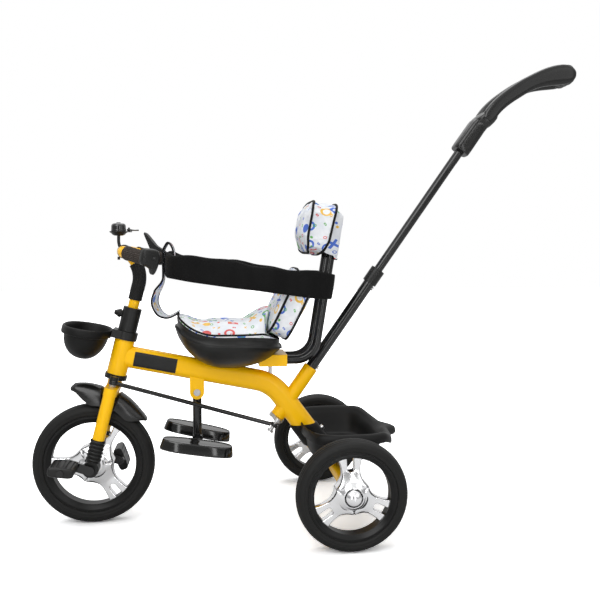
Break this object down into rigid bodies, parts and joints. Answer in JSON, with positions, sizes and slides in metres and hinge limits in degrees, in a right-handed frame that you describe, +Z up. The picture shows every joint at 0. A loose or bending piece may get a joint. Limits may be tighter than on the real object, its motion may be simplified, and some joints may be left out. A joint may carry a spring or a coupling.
{
  "type": "toddler push along trike",
  "caption": "Toddler push-along tricycle with a steerable telescopic parent handle, padded seat, fabric guard ring, footrest and front and rear baskets.",
  "frame": {"origin": "on the ground, midway along the overall length and across the width", "axes": "+X towards the rear (the push handle), -X the way the trike rides, +Y the child's right-hand side, +Z up"},
  "size_m": [1.1596, 0.5102, 0.9639],
  "materials": {
    "yellow_paint": "gloss powder coat",
    "chrome_plate": "bright plated",
    "zinc_steel": "zinc plated",
    "black_tube": "satin black paint",
    "black_plastic": "fine moulded grain",
    "black_gloss": "polished",
    "black_rim": "satin moulded",
    "tyre_rubber": "matt foam rubber",
    "grip_rubber": "ribbed rubber",
    "foam": "matt foam",
    "printed_cloth": "smooth white cloth with a small coloured pattern",
    "black_cloth": "woven nylon"
  },
  "bodies": {
    "frame": {"main_frame": "yellow_paint", "label_plate": "black_plastic", "rear_axle": "zinc_steel", "seat_bracket": "yellow_paint", "seat_bolt": "zinc_steel", "backrest_post_left": "black_tube", "backrest_post_right": "black_tube", "seat_tub": "black_plastic", "seat_cushion": "printed_cloth", "back_pad": "printed_cloth", "headrest_pad": "printed_cloth", "guard_ring": "black_cloth", "crotch_strap": "printed_cloth", "rear_basket": "black_plastic", "basket_bolts": "zinc_steel", "footrest_pin": "zinc_steel"},
    "steering": {"fork": "yellow_paint", "fork_boot_left": "black_plastic", "fork_boot_right": "black_plastic", "mudguard": "black_plastic", "steering_ring": "black_plastic", "rod_pin": "zinc_steel", "basket_ring": "black_plastic", "front_basket": "black_plastic", "stem_collar": "black_plastic"},
    "clamp_knob": {"clamp_knob": "black_plastic"},
    "handlebar": {"handlebar": "yellow_paint", "stem_sleeve": "foam", "grip_left": "grip_rubber", "grip_right": "grip_rubber", "hand_guard_left": "black_plastic", "hand_guard_right": "black_plastic", "bell_base": "black_plastic", "bell_dome": "black_gloss"},
    "bell_lever": {"bell_lever": "black_plastic"},
    "front_wheel": {"front_tyre": "tyre_rubber", "front_rim": "black_rim", "front_spokes": "chrome_plate", "crank_axle": "chrome_plate"},
    "pedal_left": {"pedal_left": "black_plastic"},
    "pedal_right": {"pedal_right": "black_plastic"},
    "rear_wheel_left": {"rear_tyre_left": "tyre_rubber", "rear_rim_left": "black_rim", "rear_spokes_left": "chrome_plate", "rear_cap_left": "chrome_plate"},
    "rear_wheel_right": {"rear_tyre_right": "tyre_rubber", "rear_rim_right": "black_rim", "rear_spokes_right": "chrome_plate", "rear_cap_right": "chrome_plate"},
    "push_lower": {"lower_tube": "black_tube", "steering_lever": "black_tube", "handle_collar": "black_plastic"},
    "lower_button": {"lower_button": "zinc_steel"},
    "upper_button": {"upper_button": "zinc_steel"},
    "push_upper": {"upper_tube": "black_tube", "handle_grip": "black_plastic"},
    "steering_rod": {"steering_rod": "black_tube"},
    "footrest": {"footrest_post": "black_tube", "foot_pad_left": "black_plastic", "foot_pad_right": "black_plastic"}
  },
  "joints": [
    {"name": "steer", "type": "hinge", "parent": "frame", "child": "steering", "pos_m": [-0.45476, 0, 0.125], "axis": [0.2504, 0, 0.9681], "range_deg": [-25, 25]},
    {"name": "knob_turn", "type": "hinge", "parent": "steering", "child": "clamp_knob", "pos_m": [-0.37549, 0, 0.43152], "axis": [-0.9681, 0, 0.2504], "continuous": true},
    {"name": "bar_height", "type": "slide", "parent": "steering", "child": "handlebar", "axis": [0.2504, 0, 0.9681], "range_m": [-0.015, 0.04]},
    {"name": "bell_strike", "type": "hinge", "parent": "handlebar", "child": "bell_lever", "pos_m": [-0.37123, -0.058, 0.60666], "axis": [0, 0, 1], "range_deg": [0, 30], "stiffness_Nm_per_rad": 0.02},
    {"name": "front_spin", "type": "hinge", "parent": "steering", "child": "front_wheel", "pos_m": [-0.45476, 0, 0.125], "axis": [0, 1, 0], "continuous": true},
    {"name": "pedal_spin_left", "type": "hinge", "parent": "front_wheel", "child": "pedal_left", "pos_m": [-0.49987, -0.1008, 0.14142], "axis": [0, 1, 0], "continuous": true},
    {"name": "pedal_spin_right", "type": "hinge", "parent": "front_wheel", "child": "pedal_right", "pos_m": [-0.40965, 0.1008, 0.10858], "axis": [0, 1, 0], "continuous": true},
    {"name": "rear_spin_left", "type": "hinge", "parent": "frame", "child": "rear_wheel_left", "pos_m": [0.04924, -0.22, 0.107], "axis": [0, 1, 0], "continuous": true},
    {"name": "rear_spin_right", "type": "hinge", "parent": "frame", "child": "rear_wheel_right", "pos_m": [0.04924, 0.22, 0.107], "axis": [0, 1, 0], "continuous": true},
    {"name": "push_turn", "type": "hinge", "parent": "frame", "child": "push_lower", "pos_m": [-0.05023, 0, 0.2414], "axis": [0.5736, 0, 0.8192], "range_deg": [-25, 25]},
    {"name": "lower_press", "type": "slide", "parent": "push_lower", "child": "lower_button", "axis": [-0.8192, 0, 0.5736], "range_m": [0, 0.0024], "stiffness_N_per_m": 800},
    {"name": "upper_press", "type": "slide", "parent": "push_lower", "child": "upper_button", "axis": [-0.8192, 0, 0.5736], "range_m": [0, 0.0024], "stiffness_N_per_m": 800},
    {"name": "push_length", "type": "slide", "parent": "push_lower", "child": "push_upper", "axis": [0.5736, 0, 0.8192], "range_m": [-0.09, 0]},
    {"name": "rod_swing", "type": "hinge", "parent": "steering", "child": "steering_rod", "pos_m": [-0.41048, -0.028, 0.29622], "axis": [0.2504, 0, 0.9681], "range_deg": [-25, 25]},
    {"name": "footrest_fold", "type": "hinge", "parent": "frame", "child": "footrest", "pos_m": [-0.24076, 0, 0.26959], "axis": [0, -1, 0], "range_deg": [0, 45]}
  ],
  "couplings": [
    {"joint": "push_turn", "follows": "steer", "ratio": 1},
    {"joint": "rod_swing", "follows": "steer", "ratio": -1}
  ]
}
